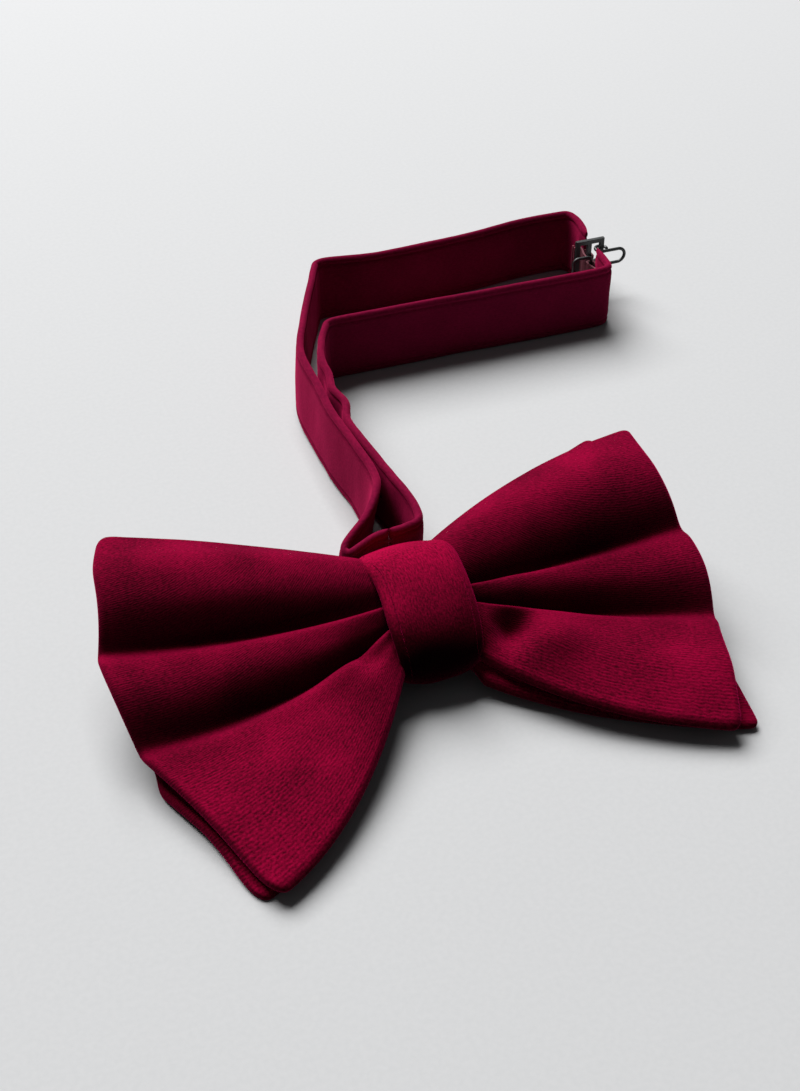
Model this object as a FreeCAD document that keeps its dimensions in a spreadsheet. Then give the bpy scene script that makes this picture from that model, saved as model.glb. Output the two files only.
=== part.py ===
import FreeCAD, Part
import Sketcher
import math
import os

# A ready-tied velvet bow tie, lying down: a double bow on its back, and its neckband
# standing on edge behind it, laid round into a flat loop that closes with a hook and an eye.
# Lengths are in millimetres. +Z is up from the surface the tie lies on, +X runs along the bow,
# and +Y runs from the knot along the neckband.

doc = FreeCAD.newDocument("bow_tie")
sheet = doc.addObject("Spreadsheet::Sheet", "dims")

DRIVING = (
    # where the middle of the whole tie, in plan, lies from the middle of the bow
    ("plan_centre_x", 20.55),
    ("plan_centre_y", 51.12),
    # the bow: the two wings fan out from a narrow waist, and the whole leans back
    ("bow_lean", 18.0),
    ("waist_centre_y", 11.0),
    ("waist_centre_z", 12.2),
    ("waist_half_length", 9.0),
    ("waist_half_width", 10.5),
    ("wing_reach", 66.0),
    ("wing_low_y", -61.0),
    ("wing_low_z", 1.2),
    ("wing_high_y", 34.5),
    ("wing_high_z", 29.0),
    ("fold_depth", 3.6),
    ("front_waist_thickness", 4.0),
    ("front_edge_thickness", 3.2),
    ("rear_waist_thickness", 3.4),
    ("rear_edge_thickness", 2.4),
    ("layer_gap", 0.6),
    ("rear_overhang", 2.5),
    ("wing_puff", 1.6),
    ("front_bow_lift", 0.2),
    ("trim_allowance", 6.0),
    ("trim_low_z", -20.0),
    ("trim_height", 80.0),
    ("velvet_wall", 0.8),
    ("lining_gap", 0.2),
    # the knot: a velvet strip lapped round the waist
    ("knot_centre_x", 2.0),
    ("knot_width", 18.0),
    ("knot_half_length", 17.3),
    ("knot_half_thickness", 9.9),
    ("knot_wrap_wall", 1.3),
    ("knot_filler_wall", 1.4),
    ("thread_size", 0.7),
    ("thread_turns", 5.0),
    ("thread_spacing", 2.2),
    ("filler_margin", 1.0),
    ("lap_stitches", 5.0),
    ("lap_stitch_length", 3.0),
    ("lap_stitch_spacing", 2.8),
    ("sewing_clearance", 0.06),
    # the neckband: a flat velvet tube standing on edge
    ("band_height", 19.0),
    ("band_thickness", 2.4),
    ("band_wall", 0.5),
    ("band_lining_thickness", 0.9),
    ("behind_knot_y", 31.2),
    ("behind_knot_left_x", -6.5),
    ("behind_knot_right_x", 10.0),
    ("pinch_y", 58.0),
    ("band_corner_radius", 3.0),
    ("band_end_radius", 2.0),
    ("outer_strand_x", 4.2),
    ("inner_strand_x", 8.2),
    ("outer_sweep_x", 17.5),
    ("outer_sweep_y", 41.0),
    ("inner_sweep_x", 7.5),
    ("inner_sweep_y", 17.0),
    ("pinch_shift", 0.6),
    ("anchor_stitches", 4.0),
    ("anchor_stitch_length", 5.6),
    ("anchor_stitch_low_z", 4.0),
    ("anchor_stitch_spacing", 3.6),
    ("back_strand_y", 145.0),
    ("front_strand_y", 115.0),
    ("back_hinge_x", 34.0),
    ("front_hinge_x", 28.0),
    ("hinge_half_gap", 1.4),
    ("back_end_x", 98.6),
    ("back_end_y", 134.2),
    ("front_end_x", 97.4),
    ("front_end_y", 122.6),
    # the fastening: ribbon tabs, a slotted plate with a wire hook, and a wire eye
    ("tab_height", 8.0),
    ("tab_thickness", 0.5),
    ("tab_insert", 4.0),
    ("tab_room", 0.6),
    ("tab_bend", 0.5),
    ("tab_mouth", 0.3),
    ("tab_neck", 0.7),
    ("bar_clearance", 0.2),
    ("wire_clearance", 0.3),
    ("tacks", 3.0),
    ("tack_size", 0.5),
    ("tack_first", 0.9),
    ("tack_spacing", 1.1),
    ("tack_margin", 0.5),
    ("tack_gap", 0.02),
    ("plate_left_x", 94.5),
    ("plate_right_x", 103.05),
    ("plate_y", 130.5),
    ("plate_thickness", 1.0),
    ("plate_bar", 1.2),
    ("plate_low_z", 1.0),
    ("plate_high_z", 18.2),
    ("wire_radius", 0.45),
    ("curl_radius", 1.6),
    ("hook_mid_z", 12.5),
    ("hook_half_height", 2.1),
    ("hook_leg", 4.6),
    ("eye_pivot_y", 126.2),
    ("eye_mid_z", 9.5),
    ("eye_half_height", 5.8),
    ("eye_reach", 5.4),
    ("eye_bend", 1.4),
)

for row, (name, value) in enumerate(DRIVING, start=1):
    sheet.set("A%d" % row, name)
    sheet.set("B%d" % row, str(value))
    sheet.setAlias("B%d" % row, name)
doc.recompute()


def dim(name):
    """One driving dimension, read from the sheet."""
    return float(getattr(sheet, name))


def vec(x, y, z=0.0):
    return FreeCAD.Vector(x, y, z)


def place(obj):
    """Bind a finished piece to the shared frame: the tie's middle in plan is the origin."""
    obj.setExpression(".Placement.Base.x", "-dims.plan_centre_x * 1 mm")
    obj.setExpression(".Placement.Base.y", "-dims.plan_centre_y * 1 mm")


def add_shape(name, shape):
    """A soft or wire piece whose shape is worked out from the sheet."""
    piece = doc.addObject("Part::Feature", name)
    piece.Label = name
    piece.Shape = shape
    place(piece)
    return piece


# ---------------------------------------------------------------- the bow

# Across a wing, from its lower edge (0) to its upper edge (1): how far each fold stands
# above (+) or below (-) the flat wing, in fold depths.
FOLDS = (
    (0.0, 0.0),
    (0.22, 0.4),
    (0.45, -1.7),
    (0.60, -0.3),
    (0.76, -1.3),
    (0.90, 0.4),
    (1.0, 0.0),
)

# The free edge of a wing in plan: along the wing as a share of its reach, and across it in mm.
WING_EDGE = (
    (0.68, -52.0),
    (0.86, -25.0),
    (0.97, 0.0),
    (1.0, 15.0),
    (0.97, 27.0),
    (0.87, 42.0),
)


def mix(a, b, share):
    return a + (b - a) * share


def across_lean(along, height):
    """A point of the waist, from its place along the leaning bow and its height off it."""
    lean = math.radians(dim("bow_lean"))
    y = dim("waist_centre_y") + along * math.cos(lean) - height * math.sin(lean)
    z = dim("waist_centre_z") + along * math.sin(lean) + height * math.cos(lean)
    return y, z


def wing_point(x, across, fold, height):
    """A point of a wing's surface at a given place across it and height off its middle."""
    lean = math.radians(dim("bow_lean"))
    span = dim("wing_reach") - dim("waist_half_width")
    share = max(0.0, (abs(x) - dim("waist_half_width")) / span)
    waist_y, waist_z = across_lean((across - 0.5) * 2.0 * dim("waist_half_length"), 0.0)
    edge_y = mix(dim("wing_low_y"), dim("wing_high_y"), across)
    edge_z = mix(dim("wing_low_z"), dim("wing_high_z"), across)
    lift = height + fold * dim("fold_depth") * min(1.0, share * 1.2)
    y = mix(waist_y, edge_y, share) - lift * math.sin(lean)
    z = mix(waist_z, edge_z, share) + lift * math.cos(lean)
    return vec(x, y, z)


def bow_section(x, top, thickness, inset):
    """One closed section of a bow across the wing at a given place along it."""
    low = wing_point(x, 0.0, 0.0, 0.0)
    high = wing_point(x, 1.0, 0.0, 0.0)
    trim = inset / low.distanceToPoint(high)
    upper = []
    lower = []
    for across, fold in FOLDS:
        inside = trim + across * (1.0 - 2.0 * trim)
        upper.append(wing_point(x, inside, fold, top))
        lower.append(wing_point(x, inside, fold, top - thickness))
    top_curve = Part.BSplineCurve()
    top_curve.interpolate(upper)
    bottom_curve = Part.BSplineCurve()
    bottom_curve.interpolate(lower)
    return Part.Wire([
        top_curve.toShape(),
        Part.makeLine(upper[-1], lower[-1]),
        bottom_curve.toShape(),
        Part.makeLine(lower[0], upper[0]),
    ])


def wing_outline(overhang, inset):
    """The bow's outline in plan, as a tall block that trims both wings' free edges."""
    edge = [vec(share * dim("wing_reach") + overhang - inset, y) for share, y in WING_EDGE]
    other = [vec(-point.x, point.y) for point in reversed(edge)]
    right = Part.BSplineCurve()
    right.interpolate(edge)
    left = Part.BSplineCurve()
    left.interpolate(other)
    wire = Part.Wire([
        right.toShape(),
        Part.makeLine(edge[-1], other[0]),
        left.toShape(),
        Part.makeLine(other[-1], edge[0]),
    ])
    block = Part.Face(wire).extrude(vec(0.0, 0.0, dim("trim_height")))
    block.translate(vec(0.0, 0.0, dim("trim_low_z")))
    return block


def bow_blank(waist_top, edge_top, waist_thickness, edge_thickness, overhang, inset):
    """A bow's solid, drawn in from its surface by an inset."""
    past_edge = dim("wing_reach") + dim("trim_allowance")
    middle = 0.5 * (dim("waist_half_width") + dim("wing_reach"))
    puff = dim("wing_puff")
    stations = (
        (dim("waist_half_width"), waist_top, waist_thickness),
        (middle, mix(waist_top, edge_top, 0.5) + puff * (overhang == 0.0),
         mix(waist_thickness, edge_thickness, 0.5) + puff * (overhang == 0.0)),
        (past_edge, edge_top, edge_thickness),
    )
    both = [(-x, top, thick) for x, top, thick in reversed(stations)] + list(stations)
    sections = [bow_section(x, top - inset, thick - 2.0 * inset, inset) for x, top, thick in both]
    blank = Part.makeLoft(sections, True, True)
    if blank.Volume < 0.0:
        blank.reverse()
    return blank.common(wing_outline(overhang, inset)).Solids[0]


def front_bow(inset):
    top = dim("front_bow_lift") + dim("front_waist_thickness")
    edge_top = dim("front_edge_thickness")
    return bow_blank(top, edge_top, dim("front_waist_thickness"),
                     dim("front_edge_thickness"), 0.0, inset)


def rear_bow(inset):
    top = dim("front_bow_lift") - dim("layer_gap")
    return bow_blank(top, -dim("layer_gap"), dim("rear_waist_thickness"),
                     dim("rear_edge_thickness"), dim("rear_overhang"), inset)


def add_bow(prefix, build):
    """A bow's velvet cover, a closed flat tube, and the interlining inside it."""
    add_shape(prefix + "_velvet", build(0.0).cut(build(dim("velvet_wall"))).Solids[0])
    add_shape(prefix + "_interlining", build(dim("velvet_wall") + dim("lining_gap")))


# ---------------------------------------------------------------- the knot


def knot_oval(half_length, half_thickness, width, middle_x):
    """A solid oval block along the bow, leaning with it."""
    centre = vec(middle_x - width / 2.0, dim("waist_centre_y"), dim("waist_centre_z"))
    lean = math.radians(dim("bow_lean"))
    along = vec(0.0, math.cos(lean), math.sin(lean))
    through = vec(0.0, -math.sin(lean), math.cos(lean))
    oval = Part.Ellipse(centre + along * half_length, centre + through * half_thickness, centre)
    return Part.Face(Part.Wire(oval.toShape())).extrude(vec(width, 0.0, 0.0))


def knot_ring(outset, wall, width, middle_x):
    """An oval ring round the waist; outset is how far its outside is in from the knot's."""
    outer_length = dim("knot_half_length") - outset
    outer_thickness = dim("knot_half_thickness") - outset
    outer = knot_oval(outer_length, outer_thickness, width, middle_x)
    inner = knot_oval(outer_length - wall, outer_thickness - wall, width, middle_x)
    return outer.cut(inner).Solids[0]


def add_knot():
    gap = dim("lining_gap")
    width = dim("knot_width")
    middle = dim("knot_centre_x")
    wrap = dim("knot_wrap_wall")
    filler = dim("knot_filler_wall")
    add_shape("knot_wrap_velvet", knot_ring(0.0, wrap, width, middle))
    add_shape("knot_wrap_filler", knot_ring(wrap + gap, filler, width - 2.0 * dim("filler_margin"), middle))
    outset = wrap + filler + 2.0 * gap
    size = dim("thread_size")
    turns = int(dim("thread_turns"))
    first = middle - 0.5 * (turns - 1) * dim("thread_spacing")
    rings = []
    for turn in range(turns):
        rings.append(knot_ring(outset, size, size, first + turn * dim("thread_spacing")))
    add_shape("waist_binding_thread", Part.makeCompound(rings))


def add_knot_stitches():
    """Short hand stitches along the lap of the wrap, on the knot's back, in a row across it."""
    lean = math.radians(dim("bow_lean"))
    size = dim("thread_size")
    length = dim("lap_stitch_length")
    below = -dim("knot_half_thickness") - 0.5 * size
    y, z = across_lean(0.0, below)
    count = int(dim("lap_stitches"))
    stitches = []
    for number in range(count):
        x = dim("knot_centre_x") + (number - 0.5 * (count - 1)) * dim("lap_stitch_spacing")
        stitch = Part.makeBox(size, length, size, vec(-size / 2.0, -length / 2.0, -size / 2.0))
        stitch.rotate(vec(0.0, 0.0, 0.0), vec(1.0, 0.0, 0.0), math.degrees(lean))
        stitch.translate(vec(x, y, z - dim("sewing_clearance")))
        stitches.append(stitch)
    add_shape("knot_lap_stitches", Part.makeCompound(stitches))


# ---------------------------------------------------------------- the neckband


def side_path(points, radius, shift):
    """A run of lines and tangent arcs along the points, moved sideways by a shift."""
    count = len(points)
    moved = []
    for i in range(count):
        before = points[i] - points[i - 1] if i > 0 else points[1] - points[0]
        after = points[i + 1] - points[i] if i < count - 1 else before
        before.normalize()
        after.normalize()
        normal = vec(-before.y - after.y, before.x + after.x)
        normal.normalize()
        square = normal.dot(vec(-before.y, before.x))
        moved.append(points[i] + normal * (shift / square))
    edges = []
    start = moved[0]
    for i in range(1, count - 1):
        into = moved[i] - moved[i - 1]
        out = moved[i + 1] - moved[i]
        into.normalize()
        out.normalize()
        turn = math.acos(max(-1.0, min(1.0, into.dot(out))))
        left_turn = into.x * out.y - into.y * out.x > 0.0
        local = radius - shift if left_turn else radius + shift
        reach = local * math.tan(turn / 2.0)
        first = moved[i] - into * reach
        last = moved[i] + out * reach
        bisector = out - into
        bisector.normalize()
        centre = moved[i] + bisector * (local / math.cos(turn / 2.0))
        edges.append(Part.makeLine(start, first))
        edges.append(Part.Arc(first, centre - bisector * local, last).toShape())
        start = last
    edges.append(Part.makeLine(start, moved[-1]))
    return edges


def end_cap(from_side, to_side, point, outward, rounded):
    """The closing edge at one end of a strip: straight across, or a half circle."""
    if not rounded:
        return Part.makeLine(from_side, to_side)
    half = from_side.distanceToPoint(to_side) / 2.0
    return Part.Arc(from_side, point + outward * half, to_side).toShape()


def strip(points, radius, thickness, low, height, round_start=False, round_end=False):
    """A ribbon standing on edge along a path, with square or rounded ends."""
    left = side_path(points, radius, thickness / 2.0)
    right = side_path(points, radius, -thickness / 2.0)
    first_way = points[0] - points[1]
    first_way.normalize()
    last_way = points[-1] - points[-2]
    last_way.normalize()
    end = end_cap(left[-1].lastVertex().Point, right[-1].lastVertex().Point,
                  points[-1], last_way, round_end)
    begin = end_cap(right[0].firstVertex().Point, left[0].firstVertex().Point,
                    points[0], first_way, round_start)
    wire = Part.Wire(Part.__sortEdges__(left + right + [end, begin]))
    face = Part.Face(wire)
    face.translate(vec(0.0, 0.0, low))
    return face.extrude(vec(0.0, 0.0, height))


def shortened(points, at_start, at_end):
    """The same path with its two ends drawn in."""
    first = points[1] - points[0]
    first.normalize()
    last = points[-2] - points[-1]
    last.normalize()
    return [points[0] + first * at_start] + points[1:-1] + [points[-1] + last * at_end]


def add_strand(prefix, points, radius, round_start, round_end, tab_room):
    """One length of neckband: a flat velvet tube and the interlining ribbon inside it."""
    thickness = dim("band_thickness")
    height = dim("band_height")
    wall = dim("band_wall")
    gap = dim("lining_gap")
    lining = dim("band_lining_thickness")
    cover = strip(points, radius, thickness, 0.0, height, round_start, round_end)
    hollow_path = shortened(points, wall, wall if tab_room == 0.0 else -1.0)
    hollow = strip(hollow_path, radius, thickness - 2.0 * wall, wall, height - 2.0 * wall)
    add_shape(prefix + "_velvet", cover.cut(hollow).Solids[0])
    lining_path = shortened(points, wall + gap, wall + gap + tab_room)
    add_shape(prefix + "_interlining",
              strip(lining_path, radius, lining, wall + gap, height - 2.0 * (wall + gap)))


def hinged(x):
    """Where a strand's rounded end stops short of its fold line."""
    return x - dim("hinge_half_gap")


def neckband_points():
    """The neckband's path, from the back strand's fold, behind the knot, to the front one's."""
    back_y = dim("back_strand_y")
    front_y = dim("front_strand_y")
    behind_knot = dim("behind_knot_y")
    return [
        vec(hinged(dim("back_hinge_x")), back_y),
        vec(dim("outer_strand_x") + dim("outer_sweep_x"), back_y),
        vec(dim("outer_strand_x"), back_y - dim("outer_sweep_y")),
        vec(dim("outer_strand_x") + dim("pinch_shift"), dim("pinch_y")),
        vec(dim("behind_knot_left_x"), behind_knot),
        vec(dim("behind_knot_right_x"), behind_knot),
        vec(dim("inner_strand_x"), front_y - dim("inner_sweep_y")),
        vec(dim("inner_strand_x") + dim("inner_sweep_x"), front_y),
        vec(hinged(dim("front_hinge_x")), front_y),
    ]


def back_strand_points():
    y = dim("back_strand_y")
    return [vec(dim("back_hinge_x") + dim("hinge_half_gap"), y), vec(dim("back_end_x"), y),
            vec(dim("back_end_x"), dim("back_end_y"))]


def front_strand_points():
    y = dim("front_strand_y")
    return [vec(dim("front_hinge_x") + dim("hinge_half_gap"), y), vec(dim("front_end_x"), y),
            vec(dim("front_end_x"), dim("front_end_y"))]


def add_neckband():
    room = dim("tab_insert") + dim("tab_room")
    bend = dim("band_corner_radius")
    end_bend = dim("band_end_radius")
    add_strand("neckband", neckband_points(), bend, True, True, 0.0)
    add_strand("back_band", back_strand_points(), end_bend, True, False, room)
    add_strand("front_band", front_strand_points(), end_bend, True, False, room)


def add_anchor_stitches():
    """Rows of stitches that hold the middle of the neckband to the back of the knot."""
    size = dim("thread_size")
    length = dim("anchor_stitch_length")
    x = dim("knot_centre_x") - 0.5 * length
    y = dim("behind_knot_y") - dim("band_thickness") / 2.0 - dim("sewing_clearance") - size
    stitches = []
    for number in range(int(dim("anchor_stitches"))):
        z = dim("anchor_stitch_low_z") + number * dim("anchor_stitch_spacing")
        stitches.append(Part.makeBox(length, size, size, vec(x, y, z)))
    add_shape("band_anchor_stitches", Part.makeCompound(stitches))


# ---------------------------------------------------------------- the fastening


def tab_shape(end_x, end_y, post_x, post_y, half_gap, below):
    """A ribbon loop: sewn into a strand's end, round an upright bar, and back."""
    thickness = dim("tab_thickness")
    inside = thickness / 2.0 + dim("sewing_clearance")
    way = 1.0 if end_y > post_y else -1.0
    inner_y = end_y + way * dim("tab_insert")
    mouth_y = end_y - way * dim("tab_mouth")
    neck_y = post_y + way * dim("tab_neck")
    points = [
        vec(end_x + inside, inner_y),
        vec(end_x + inside, mouth_y),
        vec(post_x + half_gap, neck_y),
        vec(post_x + half_gap, post_y - way * below),
        vec(post_x - half_gap, post_y - way * below),
        vec(post_x - half_gap, neck_y),
        vec(end_x - inside, mouth_y),
        vec(end_x - inside, inner_y),
    ]
    low = (dim("band_height") - dim("tab_height")) / 2.0
    return strip(points, dim("tab_bend"), thickness, low, dim("tab_height"))


def plate_middle_x():
    return dim("back_end_x")


def add_tabs():
    clear = dim("bar_clearance")
    below = dim("plate_thickness") / 2.0 + clear + dim("tab_thickness")
    half = dim("plate_bar") / 2.0 + clear + dim("tab_thickness") / 2.0
    add_shape("hook_ribbon_tab", tab_shape(dim("back_end_x"), dim("back_end_y"),
                                           plate_middle_x(), dim("plate_y"), half, below))
    around = dim("wire_radius") + dim("wire_clearance") + dim("tab_thickness") / 2.0
    add_shape("eye_ribbon_tab", tab_shape(dim("front_end_x"), dim("front_end_y"),
                                          dim("front_end_x"), dim("eye_pivot_y"), around, around))


def add_bar_tack(name, end_x, end_y, way):
    """Close rows of stitches across a strand's end, on both faces, that hold its tab."""
    size = dim("tack_size")
    height = dim("tab_height") - 2.0 * dim("tack_margin")
    away = dim("band_thickness") / 2.0 + size / 2.0 + dim("tack_gap")
    tacks = []
    for number in range(int(dim("tacks"))):
        y = end_y + way * (dim("tack_first") + number * dim("tack_spacing"))
        for face in (-1.0, 1.0):
            x = end_x + face * away
            corner = vec(x - size / 2.0, y - size / 2.0, (dim("band_height") - height) / 2.0)
            tacks.append(Part.makeBox(size, size, height, corner))
    add_shape(name, Part.makeCompound(tacks))


def rectangle(sketch, left, low, right, high, names):
    """A constrained upright rectangle; names are the sheet formulas for its four sides."""
    first = sketch.GeometryCount
    corners = [vec(left, low), vec(right, low), vec(right, high), vec(left, high)]
    for i in range(4):
        sketch.addGeometry(Part.LineSegment(corners[i], corners[(i + 1) % 4]), False)
    for i in range(4):
        sketch.addConstraint(Sketcher.Constraint("Coincident", first + i, 2, first + (i + 1) % 4, 1))
    for i, kind in enumerate(("Horizontal", "Vertical", "Horizontal", "Vertical")):
        sketch.addConstraint(Sketcher.Constraint(kind, first + i))
    for kind, line, value, formula in (
        ("DistanceX", first, left, names[0]),
        ("DistanceY", first, low, names[1]),
        ("DistanceX", first + 2, right, names[2]),
        ("DistanceY", first + 2, high, names[3]),
    ):
        number = sketch.addConstraint(Sketcher.Constraint(kind, -1, 1, line, 1, value))
        sketch.setExpression("Constraints[%d]" % number, formula)


def add_plate():
    """The slotted plate: three upright bars joined top and bottom, stamped from sheet."""
    body = doc.addObject("PartDesign::Body", "slotted_hook_plate")
    body.Label = "slotted_hook_plate"
    plane = [item for item in body.Origin.OriginFeatures if item.Role == "XZ_Plane"][0]
    left = dim("plate_left_x")
    right = dim("plate_right_x")
    low = dim("plate_low_z")
    high = dim("plate_high_z")
    bar = dim("plate_bar")
    middle = plate_middle_x()
    outline = body.newObject("Sketcher::SketchObject", "plate_outline")
    outline.AttachmentSupport = (plane, [""])
    outline.MapMode = "FlatFace"
    rectangle(outline, left, low, right, high, (
        "dims.plate_left_x * 1 mm", "dims.plate_low_z * 1 mm",
        "dims.plate_right_x * 1 mm", "dims.plate_high_z * 1 mm"))
    pad = body.newObject("PartDesign::Pad", "plate_blank")
    pad.Profile = outline
    pad.setExpression("Length", "dims.plate_thickness * 1 mm")
    pad.Midplane = True
    slots = body.newObject("Sketcher::SketchObject", "plate_slots")
    slots.AttachmentSupport = (plane, [""])
    slots.MapMode = "FlatFace"
    rectangle(slots, left + bar, low + bar, middle - bar / 2.0, high - bar, (
        "(dims.plate_left_x + dims.plate_bar) * 1 mm", "(dims.plate_low_z + dims.plate_bar) * 1 mm",
        "(dims.back_end_x - dims.plate_bar / 2) * 1 mm", "(dims.plate_high_z - dims.plate_bar) * 1 mm"))
    rectangle(slots, middle + bar / 2.0, low + bar, right - bar, high - bar, (
        "(dims.back_end_x + dims.plate_bar / 2) * 1 mm", "(dims.plate_low_z + dims.plate_bar) * 1 mm",
        "(dims.plate_right_x - dims.plate_bar) * 1 mm", "(dims.plate_high_z - dims.plate_bar) * 1 mm"))
    cut = body.newObject("PartDesign::Pocket", "plate_slot_cut")
    cut.Profile = slots
    cut.Type = "ThroughAll"
    cut.Midplane = True
    body.Tip = cut
    body.setExpression(".Placement.Base.x", "-dims.plan_centre_x * 1 mm")
    body.setExpression(".Placement.Base.y", "(dims.plate_y - dims.plan_centre_y) * 1 mm")


def bent_wire(edges, start, way):
    """A round wire drawn along a run of lines and tangent arcs."""
    section = Part.Wire(Part.makeCircle(dim("wire_radius"), start, way))
    return Part.Wire(edges).makePipeShell([section], True, True)


def arc_about(centre, radius, first, second, start, end):
    """An arc from one angle to another, in the plane of two square directions."""
    def at(angle):
        turn = math.radians(angle)
        return centre + first * (radius * math.cos(turn)) + second * (radius * math.sin(turn))
    return Part.Arc(at(start), at((start + end) / 2.0), at(end)).toShape()


def add_hook():
    """The hook: one wire, doubled into a hairpin, its two ends curled round the plate's bar."""
    curl = dim("curl_radius")
    half = dim("hook_half_height")
    x = dim("plate_right_x") - dim("plate_bar") / 2.0
    y = dim("plate_y")
    low_z = dim("hook_mid_z") - half
    high_z = dim("hook_mid_z") + half
    tip_x = x + dim("hook_leg")
    east = vec(1.0, 0.0, 0.0)
    north = vec(0.0, 1.0, 0.0)
    up = vec(0.0, 0.0, 1.0)
    open_end = -15.0
    edges = [
        arc_about(vec(x, y, high_z), curl, east, north, open_end, 270.0),
        Part.makeLine(vec(x, y - curl, high_z), vec(tip_x, y - curl, high_z)),
        arc_about(vec(tip_x, y - curl, dim("hook_mid_z")), half, east, up, 90.0, -90.0),
        Part.makeLine(vec(tip_x, y - curl, low_z), vec(x, y - curl, low_z)),
        arc_about(vec(x, y, low_z), curl, east, north, 270.0, open_end),
    ]
    turn = math.radians(open_end)
    start = vec(x + curl * math.cos(turn), y + curl * math.sin(turn), high_z)
    way = vec(-math.sin(turn), math.cos(turn))
    add_shape("wire_hook", bent_wire(edges, start, way))


def add_eye():
    """The eye: a D of wire, its straight side upright in the ribbon tab."""
    bend = dim("eye_bend")
    near = dim("front_end_x")
    far = near - dim("eye_reach")
    y = dim("eye_pivot_y")
    low = dim("eye_mid_z") - dim("eye_half_height")
    high = dim("eye_mid_z") + dim("eye_half_height")
    east = vec(1.0, 0.0, 0.0)
    up = vec(0.0, 0.0, 1.0)
    edges = [
        Part.makeLine(vec(near, y, low + bend), vec(near, y, high - bend)),
        arc_about(vec(near - bend, y, high - bend), bend, east, up, 0.0, 90.0),
        Part.makeLine(vec(near - bend, y, high), vec(far + bend, y, high)),
        arc_about(vec(far + bend, y, high - bend), bend, east, up, 90.0, 180.0),
        Part.makeLine(vec(far, y, high - bend), vec(far, y, low + bend)),
        arc_about(vec(far + bend, y, low + bend), bend, east, up, 180.0, 270.0),
        Part.makeLine(vec(far + bend, y, low), vec(near - bend, y, low)),
        arc_about(vec(near - bend, y, low + bend), bend, east, up, 270.0, 360.0),
    ]
    add_shape("wire_eye", bent_wire(edges, vec(near, y, low + bend), up))


add_bow("front_bow", front_bow)
add_bow("rear_bow", rear_bow)
add_knot()
add_knot_stitches()
add_neckband()
add_anchor_stitches()
add_tabs()
add_bar_tack("hook_tab_bar_tack", dim("back_end_x"), dim("back_end_y"), 1.0)
add_bar_tack("eye_tab_bar_tack", dim("front_end_x"), dim("front_end_y"), -1.0)
add_plate()
add_hook()
add_eye()
doc.recompute()

os.makedirs("parts", exist_ok=True)
for item in doc.Objects:
    if "Invalid" in item.State or "Error" in item.State:
        raise RuntimeError("%s did not compute: %s" % (item.Name, item.State))
for item in doc.Objects:
    if item.TypeId not in ("Part::Feature", "PartDesign::Body"):
        continue
    if item.Shape.isNull() or not item.Shape.isValid():
        raise RuntimeError("%s has no valid shape" % item.Label)
    item.Shape.exportStep("parts/%s.step" % item.Label)
    box = item.Shape.optimalBoundingBox()
    print("%-26s solids %d  vol %8.1f  x %7.2f %7.2f  y %7.2f %7.2f  z %6.2f %6.2f" % (
        item.Label, len(item.Shape.Solids), item.Shape.Volume,
        box.XMin, box.XMax, box.YMin, box.YMax, box.ZMin, box.ZMax))
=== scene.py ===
import math
from collections import namedtuple

import bmesh
import bpy
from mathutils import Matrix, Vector, noise


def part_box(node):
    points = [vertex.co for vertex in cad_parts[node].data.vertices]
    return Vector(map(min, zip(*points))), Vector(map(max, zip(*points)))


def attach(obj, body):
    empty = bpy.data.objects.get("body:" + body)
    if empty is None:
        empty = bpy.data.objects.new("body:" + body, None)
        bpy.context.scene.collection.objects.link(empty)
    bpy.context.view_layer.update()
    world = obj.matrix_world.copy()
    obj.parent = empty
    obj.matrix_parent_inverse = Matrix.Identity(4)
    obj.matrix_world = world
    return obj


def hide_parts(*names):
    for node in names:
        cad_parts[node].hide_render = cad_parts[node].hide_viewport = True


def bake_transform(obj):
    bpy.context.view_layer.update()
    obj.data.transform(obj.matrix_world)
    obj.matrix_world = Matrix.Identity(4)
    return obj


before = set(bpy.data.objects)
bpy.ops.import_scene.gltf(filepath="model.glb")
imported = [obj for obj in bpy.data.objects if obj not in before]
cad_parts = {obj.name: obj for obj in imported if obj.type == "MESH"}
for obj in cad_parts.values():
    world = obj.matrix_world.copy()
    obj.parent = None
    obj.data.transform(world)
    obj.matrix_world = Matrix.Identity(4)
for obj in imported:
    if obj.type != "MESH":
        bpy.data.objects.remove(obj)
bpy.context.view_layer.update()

# The bow tie's visible model: velvet bow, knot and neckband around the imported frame.
# Sizes written in the tables are millimetres, in the bow's own measure: x from the bow's
# middle, y from a line 11 mm in front of the knot's middle, z up from the floor.

MM = 0.001
bow_low, bow_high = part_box("front_bow_velvet")
knot_low, knot_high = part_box("knot_wrap_velvet")
BOW_X = 0.5 * (bow_low.x + bow_high.x)
KNOT_Y = 0.5 * (knot_low.y + knot_high.y)
KNOT_Z = 0.5 * (knot_low.z + knot_high.z)
KNOT_FROM_ZERO = 11.0

# The bow leans back on its rear folds: its own up and its own along.
LEAN = math.radians(18.0)
UP_LEAN = Vector((0.0, -math.sin(LEAN), math.cos(LEAN)))
ALONG_LEAN = Vector((0.0, math.cos(LEAN), math.sin(LEAN)))


def tie(x, y, z):
    """A point given in the bow's own millimetres, in the frame's metres."""
    return Vector((BOW_X + x * MM, KNOT_Y + (y - KNOT_FROM_ZERO) * MM, z * MM))


def mix(a, b, share):
    """The value a share of the way from a to b."""
    return a + (b - a) * share


def ease(share):
    """A smooth step from 0 to 1."""
    share = max(0.0, min(1.0, share))
    return share * share * (3.0 - 2.0 * share)


def bell(value, middle, width):
    """A smooth bump of height 1 at the middle value."""
    return math.exp(-((value - middle) / width) ** 2)


# ------------------------------------------------------------------ curves


def span_at(count, t):
    """Which of a curve's spans holds t, and how far along that span t is."""
    place = max(0.0, min(float(count), t * count))
    i = min(int(place), count - 1)
    return i, place - i


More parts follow.
